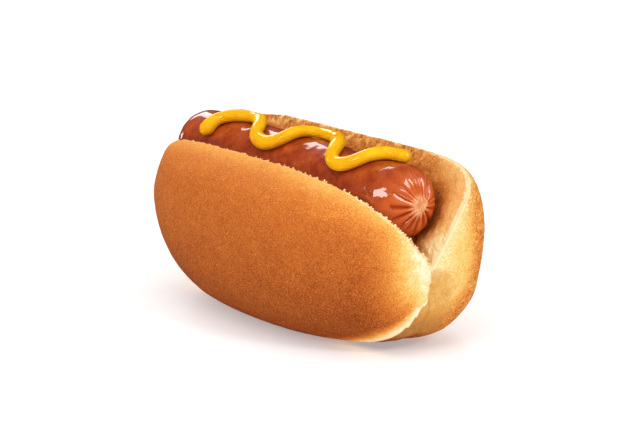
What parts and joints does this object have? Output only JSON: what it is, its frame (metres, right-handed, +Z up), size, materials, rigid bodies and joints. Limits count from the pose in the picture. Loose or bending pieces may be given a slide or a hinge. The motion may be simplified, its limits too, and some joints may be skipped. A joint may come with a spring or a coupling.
{
  "type": "hot dog",
  "caption": "Hot dog: a soft bun split along its top, a smooth frankfurter lying in the split and a wavy bead of mustard along the top of the frankfurter.",
  "frame": {"origin": "middle of the whole hot dog's footprint, on the surface it stands on", "axes": "+X along the frankfurter, towards the end with the exposed crumb wedge; +Y towards the bun's squarer heel half; +Z up, out of the split"},
  "size_m": [0.132, 0.0668, 0.0628],
  "materials": {
    "bun_bread": "baked bread: golden brown crust, pale at the ends, tan crumb on the cut faces",
    "frankfurter_skin": "moist, glossy, reddish brown casing, more orange at the gathered ends",
    "mustard": "wet, glossy yellow mustard"
  },
  "bodies": {
    "root": {"bun": "bun_bread", "frankfurter": "frankfurter_skin", "mustard": "mustard"}
  },
  "joints": []
}
